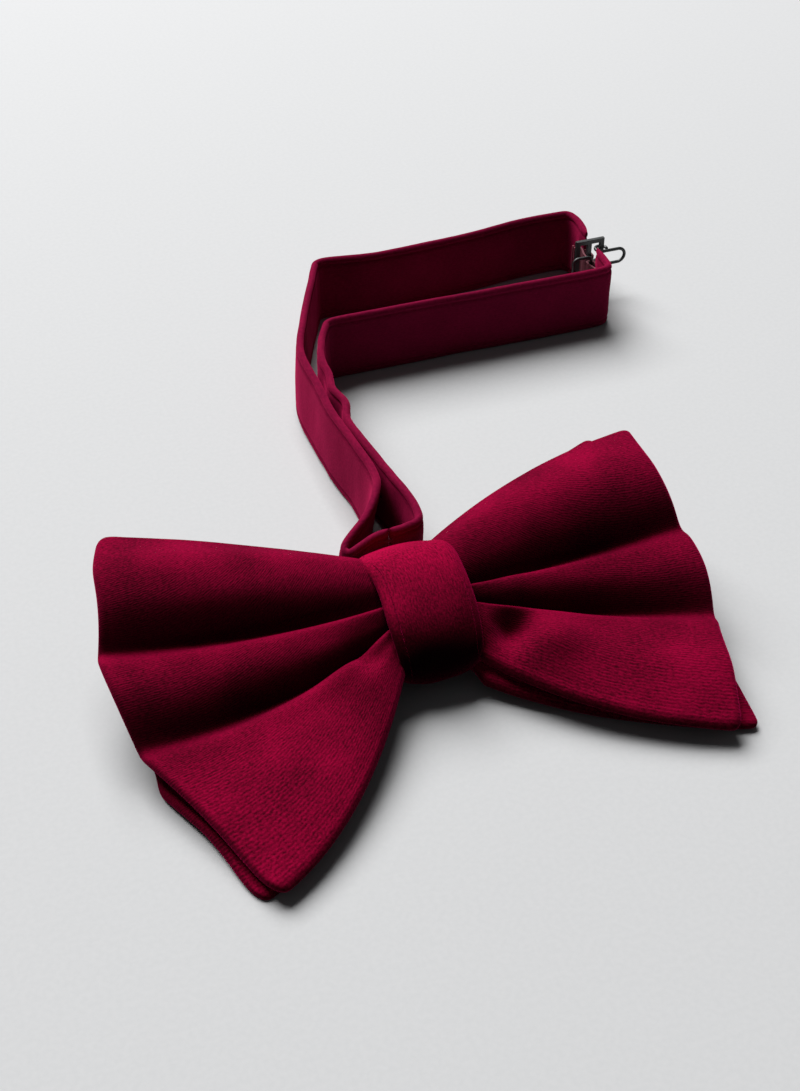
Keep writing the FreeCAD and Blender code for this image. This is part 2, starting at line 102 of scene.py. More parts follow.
def through(points, t):
    """A smooth curve through points (Catmull-Rom), with t from 0 to 1 over the whole."""
    spans = len(points) - 1
    i, u = span_at(spans, t)
    before = points[i - 1] if i > 0 else points[i] * 2.0 - points[i + 1]
    after = points[i + 2] if i + 2 <= spans else points[i + 1] * 2.0 - points[i]
    a = points[i]
    b = points[i + 1]
    return 0.5 * (2.0 * a + (b - before) * u + (2.0 * before - 5.0 * a + 4.0 * b - after) * u * u
                  + (3.0 * a - before - 3.0 * b + after) * u * u * u)


def soft_curve(points, t):
    """A uniform cubic B-spline drawn by points, from the first to the last, with t from 0 to 1."""
    row = [points[0] * 2.0 - points[1]] + points + [points[-1] * 2.0 - points[-2]]
    i, u = span_at(len(points) - 1, t)
    v = 1.0 - u
    return (row[i] * (v * v * v) + row[i + 1] * (3.0 * u * u * u - 6.0 * u * u + 4.0)
            + row[i + 2] * (3.0 * v * v * v - 6.0 * v * v + 4.0) + row[i + 3] * (u * u * u)) / 6.0


def quadratic(root, middle, edge, s):
    """The parabola through a fold line's root, middle and edge points."""
    return (root * ((1.0 - s) * (1.0 - 2.0 * s)) + middle * (4.0 * s * (1.0 - s))
            + edge * (s * (2.0 * s - 1.0)))


def length_of(points):
    """The length of a line of points."""
    return sum((b - a).length for a, b in zip(points, points[1:]))


# ------------------------------------------------------------------ folded edges

EDGE_ANGLES = (0.0, 25.0, 50.0, 72.0, 90.0)


def round_off(distance, radius):
    """How full a cloth's thickness is at a distance from its folded edge."""
    share = 1.0 - min(1.0, max(0.0, distance / radius))
    return math.sqrt(max(0.0, 1.0 - share * share))


def edge_steps(radius):
    """Distances from a folded edge that follow its round."""
    return [radius * (1.0 - math.cos(math.radians(angle))) for angle in EDGE_ANGLES]


def mirrored(shares):
    """The same shares counted from the far end."""
    return [1.0 - share for share in reversed(shares)]


def round_corner(from_edge, from_side, radius):
    """Distances from a corner's two edges, moved so that the corner is round."""
    if from_edge >= radius or from_side >= radius:
        return from_edge, from_side
    u = 1.0 - from_edge / radius
    v = 1.0 - from_side / radius
    return (radius * (1.0 - u * math.sqrt(1.0 - 0.5 * v * v)),
            radius * (1.0 - v * math.sqrt(1.0 - 0.5 * u * u)))


# ------------------------------------------------------------------ meshes

WELD = 0.02 * MM
END_WELD = 0.002 * MM


def closed_uv(row, width):
    """Cloth measure right round a flat tube, from its measure across the upper face."""
    lower = [(u, 2.0 * width - v) for u, v in row[::-1]]
    return row + lower + [(row[0][0], 2.0 * width)]


def build_mesh(name, rings, uvs):
    """A mesh from closed rings of points, with the cloth measure of every corner."""
    across = len(rings[0])
    verts = [point for ring in rings for point in ring]
    faces = []
    coords = []
    for i in range(len(rings) - 1):
        for j in range(across):
            k = (j + 1) % across
            faces.append((i * across + j, i * across + k, (i + 1) * across + k, (i + 1) * across + j))
            coords.append((uvs[i][j], uvs[i][j + 1], uvs[i + 1][j + 1], uvs[i + 1][j]))
    mesh = bpy.data.meshes.new(name)
    mesh.from_pydata(verts, [], faces)
    layer = mesh.uv_layers.new(name="cloth")
    for polygon, corner_uvs in zip(mesh.polygons, coords):
        for loop, uv in zip(polygon.loop_indices, corner_uvs):
            layer.data[loop].uv = uv
    mesh.polygons.foreach_set("use_smooth", [True] * len(mesh.polygons))
    piece = bpy.data.objects.new(name, mesh)
    bpy.context.collection.objects.link(piece)
    return piece


def clean(work, distance):
    """Join the points that meet, and face everything out."""
    bmesh.ops.remove_doubles(work, verts=work.verts, dist=distance)
    bmesh.ops.dissolve_degenerate(work, edges=work.edges, dist=distance * 0.5)
    bmesh.ops.recalc_face_normals(work, faces=work.faces)


def weld(piece):
    """Close a cloth on itself where its two faces meet."""
    work = bmesh.new()
    work.from_mesh(piece.data)
    clean(work, WELD)
    work.to_mesh(piece.data)
    work.free()


def close_ends(piece, across, rows):
    """Fill a tube's two open ends with strips between its two faces."""
    work = bmesh.new()
    work.from_mesh(piece.data)
    work.verts.ensure_lookup_table()
    for row in (0, rows - 1):
        start = row * across
        for j in range(across // 2 - 1):
            a = work.verts[start + j]
            b = work.verts[start + j + 1]
            c = work.verts[start + across - 2 - j]
            d = work.verts[start + across - 1 - j]
            work.faces.new((a, b, c, d)).smooth = True
    clean(work, END_WELD)
    work.to_mesh(piece.data)
    work.free()


def soften(piece):
    """One round of subdivision."""
    smooth = piece.modifiers.new("Smooth", "SUBSURF")
    smooth.levels = 1
    smooth.render_levels = 1


# ------------------------------------------------------------------ the bow's cloth

# Each wing is drawn by six fold lines that run from the knot to the free edge, each given
# at its root, its middle and its edge. From the lower edge up: the edge, the middle of the
# flap, the flap's lip, the lip of the middle ridge, the crest of the top ridge, the top edge.
LEFT_FRONT = {
    "lower": ((-6.4, -4.0, 10.0), (-26.6, -31.8, 6.4), (-47.4, -46.8, 4.6)),
    "flap": ((-7.5, -1.0, 13.2), (-29.5, -18.5, 9.6), (-55.0, -26.0, 7.2)),
    "flap_lip": ((-8.0, 2.8, 15.6), (-34.0, -5.8, 11.0), (-63.2, -8.5, 8.8)),
    "ridge_lip": ((-7.5, 7.2, 18.4), (-36.3, 7.1, 18.5), (-66.4, 10.8, 18.8)),
    "crest": ((-7.0, 18.4, 21.0), (-35.6, 22.0, 28.2), (-63.6, 26.2, 29.6)),
    "top": ((-7.0, 24.0, 17.0), (-34.5, 29.4, 25.4), (-59.4, 37.4, 28.8)),
}
RIGHT_FRONT = {
    "lower": ((9.0, -5.0, 9.0), (28.0, -25.6, 7.0), (53.0, -39.6, 5.2)),
    "flap": ((11.0, -0.5, 14.0), (33.0, -14.0, 11.2), (58.4, -26.0, 10.4)),
    "flap_lip": ((12.0, 4.0, 16.2), (34.0, -3.8, 12.2), (61.0, -13.8, 10.4)),
    "ridge_lip": ((12.0, 7.6, 18.4), (36.0, 5.8, 19.0), (62.9, 6.0, 18.8)),
    "crest": ((10.0, 18.2, 21.8), (33.8, 21.8, 29.0), (60.4, 23.8, 29.4)),
    "top": ((8.5, 23.4, 17.8), (32.8, 28.6, 26.4), (60.6, 33.2, 29.0)),
}
LEFT_REAR = {
    "lower": ((-8.0, -2.0, 6.4), (-30.0, -31.0, 2.6), (-50.4, -44.8, 1.6)),
    "flap": ((-7.5, -2.0, 8.5), (-32.0, -20.0, 5.0), (-55.0, -27.0, 2.8)),
    "flap_lip": ((-8.0, 3.0, 10.5), (-36.0, -5.0, 6.0), (-61.2, -13.0, 2.6)),
    "ridge_lip": ((-7.5, 7.2, 13.0), (-36.0, 9.0, 11.6), (-64.5, 11.0, 12.6)),
    "crest": ((-7.0, 19.0, 15.5), (-35.0, 25.0, 19.6), (-61.6, 27.5, 21.0)),
    "top": ((-7.0, 24.0, 12.0), (-34.0, 29.0, 18.4), (-57.0, 35.0, 21.4)),
}
RIGHT_REAR = {
    "lower": ((8.8, -8.5, 4.6), (31.0, -25.6, 3.0), (58.6, -38.0, 2.2)),
    "flap": ((11.0, -4.0, 7.5), (35.0, -15.0, 5.6), (60.8, -25.0, 4.6)),
    "flap_lip": ((12.0, 2.0, 10.5), (36.0, -4.0, 7.0), (62.4, -12.0, 5.6)),
    "ridge_lip": ((12.0, 7.6, 13.0), (38.0, 8.0, 12.0), (64.6, 9.0, 12.4)),
    "crest": ((10.0, 19.0, 15.5), (36.0, 27.0, 19.0), (61.0, 30.0, 20.6)),
    "top": ((8.5, 23.0, 12.5), (34.0, 33.0, 19.4), (55.5, 41.6, 21.6)),
}

# One bow's cloth: thickness, depth of the creases in millimetres, height of the wrinkles,
# where its noise starts, its dents, and how far its free edges wander.
Cloth = namedtuple("Cloth", "thickness crease wrinkle seed dents edge_wander")

# Dents near the knot: x, y, width and depth. A negative depth is a swelling.
FRONT_DENTS = ((17.5, -3.6, 3.8, 4.4), (25.0, -8.5, 5.5, -2.0), (20.0, 2.6, 4.0, -1.2),
               (-14.5, -1.5, 3.0, 1.8), (-20.0, -5.0, 5.0, -1.2))
FRONT_CLOTH = Cloth(3.0 * MM, 4.6, 0.35 * MM, 2.0, FRONT_DENTS, 1.2 * MM)
REAR_CLOTH = Cloth(2.4 * MM, 2.6, 0.5 * MM, 11.0, (), 3.0 * MM)

ACROSS = 72
ALONG = 50
RIM_SHARE = 0.62
LEFT_CORNER = 4.0 * MM
RIGHT_CORNER = 2.2 * MM
RIGHT_SEED_STEP = 31.0
HEM_DEPTH = 0.3 * MM
HEM_FROM_EDGE = 2.2 * MM
HEM_WIDTH = 0.5 * MM
WAIST_SQUEEZE = 0.72
WAIST_LEFT = -4.0
WAIST_RIGHT = 8.0

# A crease is deepest at the knot and keeps this share of its depth at the free edge. Its
# valley lies this far behind its lip, and a ridge's front bulges by this share of its height.
CREASE_AT_EDGE = 0.30
VALLEY_BACK_AT_KNOT = 1.0 * MM
VALLEY_BACK_OUTSIDE = 2.4 * MM
BULGE_AT_KNOT = 0.20
BULGE_OUTSIDE = 0.23
BULGE_KEPT_AT_EDGE = 0.75
RIDGE_PLACES = (0.22, 0.5, 0.78)

# Wrinkles: how many cross a wing, and how high the soft and small ones are beside the fan.
FAN_FOLDS = 15.0
SOFT_FOLDS = 5.0
SMALL_FOLDS = 26.0
SOFT_SHARE = 0.7
SMALL_SHARE = 0.14
WANDER_WAVES = 3.2


def rolled(valley, crest, roundness):
    """The points of a ridge's round front, from its valley up to its crest."""
    chord = crest - valley
    forward = Vector((0.0, -chord.z, chord.y)).normalized()
    return [mix(valley, crest, share) + forward * (roundness * chord.length * math.sin(math.pi * share))
            for share in RIDGE_PLACES]


def fold_section(wing, s, crease):
    """The points that draw one section of a wing, from its lower edge to its top edge."""
    line = {}
    for name, (root, middle, edge) in wing.items():
        line[name] = quadratic(tie(*root), tie(*middle), tie(*edge), s)
    depth = MM * crease * mix(1.0, CREASE_AT_EDGE, s ** 3)
    back = mix(VALLEY_BACK_AT_KNOT, VALLEY_BACK_OUTSIDE, ease(1.6 * s))
    valley_low = line["flap_lip"] + Vector((0.0, back, -depth))
    valley_high = line["ridge_lip"] + Vector((0.0, back, -depth))
    roundness = mix(BULGE_AT_KNOT, BULGE_OUTSIDE, ease(2.0 * s)) * mix(1.0, BULGE_KEPT_AT_EDGE, s ** 4)
    flap = [line["lower"], mix(line["lower"], line["flap"], 0.5), line["flap"],
            mix(line["flap"], line["flap_lip"], 0.45), mix(line["flap"], line["flap_lip"], 0.8),
            line["flap_lip"]]
    middle_ridge = [valley_low] + rolled(valley_low, line["ridge_lip"], roundness) + [line["ridge_lip"]]
    top_ridge = [valley_high] + rolled(valley_high, line["crest"], roundness) + [line["crest"]]
    return flap + middle_ridge + top_ridge + [mix(line["crest"], line["top"], 0.5), line["top"]]


def across_shares(length, radius):
    """Where a section is sampled: close together at both folded edges, even between."""
    ends = [step / length for step in edge_steps(radius)]
    inner = ACROSS - 2 * len(ends)
    first = ends[-1]
    gap = (1.0 - 2.0 * first) / (inner + 1)
    return ends + [first + gap * (i + 1) for i in range(inner)] + mirrored(ends)


def dented(point, dents):
    """How far a surface point is pushed down by the dents round it."""
    push = 0.0
    for x, y, width, depth in dents:
        centre = tie(x, y, 0.0)
        away = math.hypot(point.x - centre.x, point.y - centre.y)
        push += depth * MM * bell(away, 0.0, width * MM)
    return push


def wrinkled(cloth, s, place):
    """How far the wrinkles lift the cloth: folds that fan from the knot, and finer ones."""
    fan = noise.noise(Vector((s * 1.4 + cloth.seed, place * FAN_FOLDS, cloth.seed)))
    soft = noise.noise(Vector((s * 4.0, place * SOFT_FOLDS + cloth.seed, cloth.seed + 7.0)))
    small = noise.noise(Vector((s * 22.0, place * SMALL_FOLDS + cloth.seed, cloth.seed + 17.0)))
    return cloth.wrinkle * (fan * (1.0 - 0.5 * s) + SOFT_SHARE * soft + SMALL_SHARE * small)


def wing_point(wing, cloth, reach, corner, from_free, side, length, upper_half):
    """A wing's upper and lower surface points and their cloth measure.

    from_free and side are distances from the free edge and from the nearer side edge."""
    radius = RIM_SHARE * cloth.thickness
    from_edge, from_side = round_corner(from_free, side, corner)
    s = 1.0 - from_edge / reach
    place = 1.0 - from_side / length if upper_half else from_side / length
    surface = soft_curve(fold_section(wing, s, cloth.crease), place)
    fill = round_off(side, radius) * round_off(from_free, radius)
    hem = HEM_DEPTH * bell(min(from_edge, from_side), HEM_FROM_EDGE, HEM_WIDTH)
    lift = wrinkled(cloth, s, place) - dented(surface, cloth.dents)
    shift = noise.noise(Vector((place * WANDER_WAVES, cloth.seed, cloth.seed + 3.0)))
    wander = cloth.edge_wander * shift * s ** 3
    middle = surface + UP_LEAN * (lift - 0.5 * cloth.thickness) + Vector((wander, 0.0, 0.0))
    half = 0.5 * cloth.thickness * fill
    upper = middle + UP_LEAN * max(0.0, half - hem * fill)
    lower = middle - UP_LEAN * half
    return upper, lower, (s * reach, place * length)


def wing_rings(wing, cloth, corner):
    """Rings of points from a wing's free edge in to its root, and the cloth measure of each."""
    radius = RIM_SHARE * cloth.thickness
    reach = (tie(*wing["flap_lip"][2]) - tie(*wing["flap_lip"][0])).length
    ends = [step / reach for step in edge_steps(radius)]
    rest = [ends[-1] + (1.0 - ends[-1]) * (i + 1) / ALONG for i in range(ALONG)]
    rings = []
    uvs = []
    for ring_share in ends + rest:
        length = length_of(fold_section(wing, 1.0 - ring_share, cloth.crease))
        upper = []
        lower = []
        measure = []
        for share in across_shares(length, radius):
            side = min(share, 1.0 - share) * length
            above, below, uv = wing_point(wing, cloth, reach, corner, ring_share * reach, side, length,
                                          share >= 0.5)
            upper.append(above)
            lower.append(below)
            measure.append(uv)
        rings.append(upper + lower[::-1])
        uvs.append(closed_uv(measure, length))
    return rings, uvs


def waist_ring(ring, x):
    """A wing's root ring drawn in to the waist, at a place inside the knot."""
    centre = Vector((tie(x, 0.0, 0.0).x, KNOT_Y, KNOT_Z))
    return [centre + Vector((0.0, (p.y - KNOT_Y) * WAIST_SQUEEZE, (p.z - KNOT_Z) * WAIST_SQUEEZE))
            for p in ring]


def make_bow(name, left, right, cloth):
    """A whole bow: one flat tube of cloth from the left free edge, through the knot."""
    right_cloth = cloth._replace(seed=cloth.seed + RIGHT_SEED_STEP)
    left_rings, left_uvs = wing_rings(left, cloth, LEFT_CORNER)
    right_rings, right_uvs = wing_rings(right, right_cloth, RIGHT_CORNER)
    waist = [waist_ring(left_rings[-1], WAIST_LEFT), waist_ring(right_rings[-1], WAIST_RIGHT)]
    flipped = [[(-u, v) for u, v in row] for row in right_uvs]
    rings = left_rings + waist + right_rings[::-1]
    uvs = left_uvs + [left_uvs[-1], flipped[-1]] + flipped[::-1]
    piece = build_mesh(name, rings, uvs)
    weld(piece)
    soften(piece)
    return piece

# ------------------------------------------------------------------ the knot

KNOT_AROUND = 96
KNOT_START = -0.6 * math.pi
KNOT_LEFT = -8.4
KNOT_RIGHT = 11.2
KNOT_HALF_LENGTH = 17.2 * MM
KNOT_HALF_THICKNESS = 9.9 * MM
KNOT_WALL = 2.4 * MM
KNOT_RADIUS = 2.2 * MM
KNOT_POWER = 0.9
KNOT_INNER_SHARES = [0.09, 0.13, 0.18, 0.26, 0.36, 0.5, 0.64, 0.74, 0.82, 0.87, 0.91]
KNOT_WANDER = 0.5 * MM
KNOT_CROWN = 1.5 * MM
KNOT_SINK = 0.7 * MM
KNOT_CREASE = 0.55 * MM

# Round the knot, angles run from its back over its top and its front to its underside. The
# strip is narrowest low at the front. High at the back it is pulled to the right, its left
# edge flares out, and the oval is flatter there.
KNOT_FRONT = math.radians(250.0)
KNOT_TAPER = 0.9 * MM
KNOT_PULL = 0.9 * MM
PULL_ANGLE = math.radians(50.0)
PULL_WIDTH = math.radians(45.0)
KNOT_FLARE = 2.4 * MM
FLARE_ANGLE = math.radians(45.0)
FLARE_WIDTH = math.radians(24.0)
KNOT_SETTLE = 0.24
SETTLE_ANGLE = math.radians(24.0)
SETTLE_WIDTH = math.radians(36.0)


def knot_profile(angle, half_length, half_thickness):
    """The knot's outline across the bow: a leaning oval, a little square at its shoulders."""
    c = math.cos(angle)
    s = math.sin(angle)
    settle = 1.0 - KNOT_SETTLE * bell(angle, SETTLE_ANGLE, SETTLE_WIDTH)
    along = half_length * settle * math.copysign(abs(c) ** KNOT_POWER, c)
    up = half_thickness * settle * math.copysign(abs(s) ** KNOT_POWER, s)
    return Vector((0.0, KNOT_Y, KNOT_Z)) + ALONG_LEAN * along + UP_LEAN * up


def knot_sides(angle):
    """Where the strip's left and right folded edges are, at one place round the knot."""
    taper = KNOT_TAPER * ease(0.5 + 0.5 * math.cos(angle - KNOT_FRONT))
    shift = KNOT_PULL * bell(angle, PULL_ANGLE, PULL_WIDTH)
    flare = KNOT_FLARE * bell(angle, FLARE_ANGLE, FLARE_WIDTH)
    left = tie(KNOT_LEFT, 0.0, 0.0).x + taper + shift - flare
    right = tie(KNOT_RIGHT, 0.0, 0.0).x - taper + shift
    left += KNOT_WANDER * noise.noise(Vector((math.cos(angle), math.sin(angle), 3.0)))
    right += KNOT_WANDER * noise.noise(Vector((math.cos(angle), math.sin(angle), 9.0)))
    return left, right


def knot_ring(angle, run):
    """One ring round the strip's cloth, across the knot, and its cloth measure."""
    outer = knot_profile(angle, KNOT_HALF_LENGTH, KNOT_HALF_THICKNESS)
    inner = knot_profile(angle, KNOT_HALF_LENGTH - KNOT_WALL, KNOT_HALF_THICKNESS - KNOT_WALL)
    way = (outer - inner).normalized()
    left, right = knot_sides(angle)
    width = right - left
    ends = [step / width for step in edge_steps(KNOT_RADIUS)]
    top = []
    bottom = []
    measure = []
    for share in ends + KNOT_INNER_SHARES + mirrored(ends):
        half = 0.5 * KNOT_WALL * round_off(min(share, 1.0 - share) * width, KNOT_RADIUS)
        crown = KNOT_CROWN * math.sin(math.pi * share) - KNOT_SINK
        crease = noise.noise(Vector((share * 3.0, math.cos(angle) * 1.3, math.sin(angle) * 1.3 + 5.0)))
        push = crown + KNOT_CREASE * crease - 0.5 * KNOT_WALL
        base = Vector((left + share * width, outer.y, outer.z)) + way * push
        top.append(base + way * half)
        bottom.append(base - way * half)
        measure.append((run, share * width))
    return top + bottom[::-1], closed_uv(measure, width)


def make_knot(name):
    """The velvet strip lapped round the waist, with its two folded edges."""
    around = 2.0 * math.pi * math.sqrt(0.5 * (KNOT_HALF_LENGTH ** 2 + KNOT_HALF_THICKNESS ** 2))
    rings = []
    uvs = []
    for i in range(KNOT_AROUND + 1):
        ring, measure = knot_ring(2.0 * math.pi * i / KNOT_AROUND + KNOT_START, around * i / KNOT_AROUND)
        rings.append(ring)
        uvs.append(measure)
    piece = build_mesh(name, rings, uvs)
    weld(piece)
    soften(piece)
    return piece


# ------------------------------------------------------------------ the neckband

# Each half of the neckband is given by its lower and its upper edge, from behind the knot to
# the fastening, in the bow's own millimetres.
BACK_HALF = (
    ((2.0, 30.2, 1.5), (2.0, 30.0, 18.0)),
    ((-2.0, 30.2, 1.5), (-2.0, 29.8, 17.4)),
    ((-8.0, 30.0, 0.8), (-7.2, 29.8, 14.8)),
    ((-9.0, 33.0, 0.4), (-7.4, 32.2, 15.6)),
    ((-4.6, 38.0, 0.0), (-0.8, 37.0, 17.8)),
    ((0.0, 44.0, 0.0), (3.6, 43.0, 18.8)),
    ((3.6, 50.0, 0.0), (5.6, 49.0, 19.0)),
    ((4.4, 60.0, 0.0), (5.6, 59.0, 19.0)),
    ((3.0, 74.0, 0.0), (4.4, 74.0, 19.0)),
    ((2.9, 88.0, 0.0), (4.8, 88.0, 19.0)),
    ((4.0, 104.0, 0.0), (5.2, 104.0, 19.0)),
    ((10.4, 119.0, 0.0), (10.6, 119.0, 19.0)),
    ((17.6, 134.5, 0.0), (17.4, 134.0, 19.0)),
    ((21.2, 142.2, 0.0), (21.0, 142.2, 19.0)),
    ((23.0, 144.8, 0.0), (22.8, 144.9, 19.0)),
    ((27.0, 145.3, 0.0), (27.0, 145.3, 19.0)),
    ((39.0, 143.6, 0.0), (39.0, 143.4, 19.0)),
    ((55.0, 144.0, 0.0), (55.0, 143.8, 19.0)),
    ((70.0, 145.0, 0.0), (70.0, 145.0, 19.0)),
    ((84.0, 146.6, 0.0), (84.0, 146.8, 19.0)),
    ((96.0, 147.0, 0.0), (96.2, 147.2, 19.0)),
    ((99.4, 145.6, 0.0), (99.8, 145.8, 19.0)),
    ((99.8, 140.6, 0.4), (100.4, 140.6, 19.0)),
    ((98.8, 133.6, 0.6), (99.2, 133.6, 18.8)),
)
FRONT_HALF = (
    ((2.0, 30.2, 1.5), (2.0, 30.0, 18.0)),
    ((6.0, 30.5, 1.5), (6.0, 30.3, 18.2)),
    ((9.8, 32.4, 0.8), (9.6, 31.8, 18.6)),
    ((10.6, 40.0, 0.4), (10.0, 40.0, 19.0)),
    ((9.6, 48.0, 0.0), (9.0, 48.0, 19.0)),
    ((8.0, 57.0, 0.0), (8.2, 56.0, 19.0)),
    ((8.0, 66.0, 0.0), (7.2, 66.0, 19.0)),
    ((6.6, 73.0, 0.0), (7.0, 73.0, 18.8)),
    ((8.0, 79.0, 0.0), (8.6, 79.0, 19.0)),
    ((6.6, 85.0, 0.0), (7.6, 86.0, 18.8)),
    ((7.6, 92.0, 0.0), (8.8, 92.0, 19.0)),
    ((8.4, 99.0, 0.0), (9.2, 99.0, 19.0)),
    ((11.8, 107.0, 0.0), (11.6, 107.0, 19.0)),
    ((14.6, 113.0, 0.0), (14.4, 112.6, 19.0)),
    ((16.2, 115.2, 0.0), (16.0, 114.8, 19.0)),
    ((20.0, 115.8, 0.0), (20.0, 115.4, 19.0)),
    ((33.0, 115.6, 0.0), (33.0, 115.2, 19.0)),
    ((50.0, 115.6, 0.0), (50.0, 114.8, 19.0)),
    ((66.0, 115.0, 0.0), (66.0, 114.4, 19.0)),
    ((80.0, 114.6, 0.0), (80.0, 114.2, 19.0)),
    ((93.0, 114.6, 0.0), (93.0, 114.2, 19.0)),
    ((97.2, 115.6, 0.0), (97.0, 115.2, 19.0)),
    ((98.4, 119.0, 0.4), (98.0, 119.0, 18.8)),
    ((98.6, 125.0, 0.6), (98.4, 125.2, 18.6)),
)
BAND_ACROSS = 16
BAND_STEPS_PER_SPAN = 9
BAND_THICKNESS = 2.0 * MM
BAND_RADIUS = 0.7 * BAND_THICKNESS
BAND_WRINKLE = 0.3 * MM
BAND_LOOK_AHEAD = 0.002
BAND_WAVES_PER_METRE = 70.0
BAND_RIPPLES_PER_METRE = 260.0
RIPPLE_SHARE = 0.35
BACK_SEED = 1.0
FRONT_SEED = 5.0

# The seam is a groove along both edges; the cloth is sampled close together across it.
SEAM_DEPTH = 0.45 * MM
SEAM_FROM_EDGE = 1.9 * MM
SEAM_WIDTH = 0.35 * MM
SEAM_STEPS = (1.65, 1.9, 2.2, 2.6)
AFTER_SEAM = 0.03

# The ends: a round start, and a far end pressed flat over its last few steps.
START_FILL = 0.2
FLAT_END_STEPS = 4
FLAT_END_FILL = 0.42


def band_frame(low_points, high_points, t):
    """The band's lower edge point, the way up to its upper edge, and the way out of its face."""
    ahead = min(1.0, t + BAND_LOOK_AHEAD)
    behind = max(0.0, t - BAND_LOOK_AHEAD)
    low = through(low_points, t)
    high = through(high_points, t)
    way = ((through(low_points, ahead) + through(high_points, ahead))
           - (through(low_points, behind) + through(high_points, behind))).normalized()
    rise = high - low
    return low, rise, way.cross(rise).normalized()


def band_shares(height):
    """Where the band is sampled up its height: both round edges, both seams, even between."""
    ends = [step / height for step in edge_steps(BAND_RADIUS)]
    ends += [step * MM / height for step in SEAM_STEPS]
    first = ends[-1] + AFTER_SEAM
    inner = [first + (1.0 - 2.0 * first) * j / (BAND_ACROSS - 1) for j in range(BAND_ACROSS)]
    return ends + inner + mirrored(ends)


def band_fill(step, steps, run):
    """How full the band's thickness is, which is less at its two ends."""
    into_end = step - steps + FLAT_END_STEPS
    if into_end > 0:
        return mix(1.0, FLAT_END_FILL, into_end / FLAT_END_STEPS)
    return max(START_FILL, round_off(run, BAND_RADIUS))


def band_ring(low, rise, out, run, fill, seed):
    """One ring round the band's cloth, up its height, and its cloth measure."""
    height = rise.length
    near = []
    far = []
    measure = []
    for share in band_shares(height):
        distance = min(share, 1.0 - share) * height
        half = 0.5 * BAND_THICKNESS * round_off(distance, BAND_RADIUS) * fill
        wave = noise.noise(Vector((run * BAND_WAVES_PER_METRE + seed, share * 1.6, seed)))
        small = noise.noise(Vector((run * BAND_RIPPLES_PER_METRE, share * 3.0 + seed, seed + 4.0)))
        seam = SEAM_DEPTH * bell(distance, SEAM_FROM_EDGE, SEAM_WIDTH)
        base = low + rise * share + out * (BAND_WRINKLE * (wave + RIPPLE_SHARE * small))
        near.append(base + out * (half - seam))
        far.append(base - out * (half - seam))
        measure.append((run, share * height))
    return near + far[::-1], closed_uv(measure, height)


def make_band(name, edges, seed):
    """A flat velvet tube that stands on edge between its lower and upper edge lines."""
    low_points = [tie(*low) for low, high in edges]
    high_points = [tie(*high) for low, high in edges]
    steps = (len(edges) - 1) * BAND_STEPS_PER_SPAN
    run = 0.0
    last = 0.5 * (low_points[0] + high_points[0])
    rings = []
    uvs = []
    for i in range(steps + 1):
        low, rise, out = band_frame(low_points, high_points, i / steps)
        middle = low + 0.5 * rise
        run += (middle - last).length
        last = middle
        ring, measure = band_ring(low, rise, out, run, band_fill(i, steps, run), seed)
        rings.append(ring)
        uvs.append(measure)
    piece = build_mesh(name, rings, uvs)
    close_ends(piece, len(rings[0]), len(rings))
    soften(piece)
    return piece, run


# ------------------------------------------------------------------ materials

TUFTS_ALONG = 0.6
TUFTS_ACROSS = 1.3
RIBS_PER_ROW = 0.314
RIB_WAVER = 3.2
RIB_WAVER_SCALE = 1.2
FUZZ_SCALE = 2800.0
BRUSHED_SCALE = 70.0
ROWS_SHARE = 0.35
HEIGHT_SHARE = 0.35
PILE_DARK_STOP = 0.38
PILE_LIGHT_STOP = 0.64
PILE_ROUGHNESS = 0.95
PILE_SPECULAR = 0.02
SHEEN_ROUGHNESS = 0.4
GRAIN_DARK_STOP = 0.35
GRAIN_LIGHT_STOP = 0.65

# Painted shade: the velvet's colour is taken down on faces turned away from the light behind and above
# the tie, to the front and underneath.
PAINTED_LIGHT_FROM = (0.0, 0.5, 0.866)
PAINTED_SHADE_FULL_AT = -0.1
PAINTED_SHADE_NONE_AT = 1.0


class Nodes:
    """A new material's node tree, with short ways to add and join its nodes."""

    def __init__(self, name):
        self.material = bpy.data.materials.new(name)
        self.material.use_nodes = True
        self.tree = self.material.node_tree
        self.shader = self.tree.nodes["Principled BSDF"]
        self.place = self.add("ShaderNodeTexCoord")

    def add(self, kind):
        return self.tree.nodes.new(kind)

    def link(self, start, end):
        self.tree.links.new(start, end)

    def noise(self, vector, scale, detail):
        """A noise texture on a vector."""
        texture = self.add("ShaderNodeTexNoise")
        texture.inputs["Scale"].default_value = scale
        texture.inputs["Detail"].default_value = detail
        self.link(vector, texture.inputs["Vector"])
        return texture.outputs["Fac"]

    def blend(self, share, first, second):
        """A value the share of the way from the first to the second."""
        blend = self.add("ShaderNodeMix")
        blend.data_type = "FLOAT"
        blend.inputs["Factor"].default_value = share
        self.link(first, blend.inputs["A"])
        self.link(second, blend.inputs["B"])
        return blend.outputs["Result"]

    def two_tone(self, value, low_stop, low, high_stop, high):
        """A colour that goes from low to high as the value passes between two stops."""
        ramp = self.add("ShaderNodeValToRGB")
        ramp.color_ramp.elements[0].position = low_stop
        ramp.color_ramp.elements[0].color = (*low, 1.0)
        ramp.color_ramp.elements[1].position = high_stop
        ramp.color_ramp.elements[1].color = (*high, 1.0)
        self.link(value, ramp.inputs["Fac"])
        return ramp.outputs["Color"]

    def bump(self, height, distance):
        """Raise the surface by a height value."""
        bump = self.add("ShaderNodeBump")
        bump.inputs["Strength"].default_value = 1.0
        bump.inputs["Distance"].default_value = distance
        self.link(height, bump.inputs["Height"])
        self.link(bump.outputs["Normal"], self.shader.inputs["Normal"])


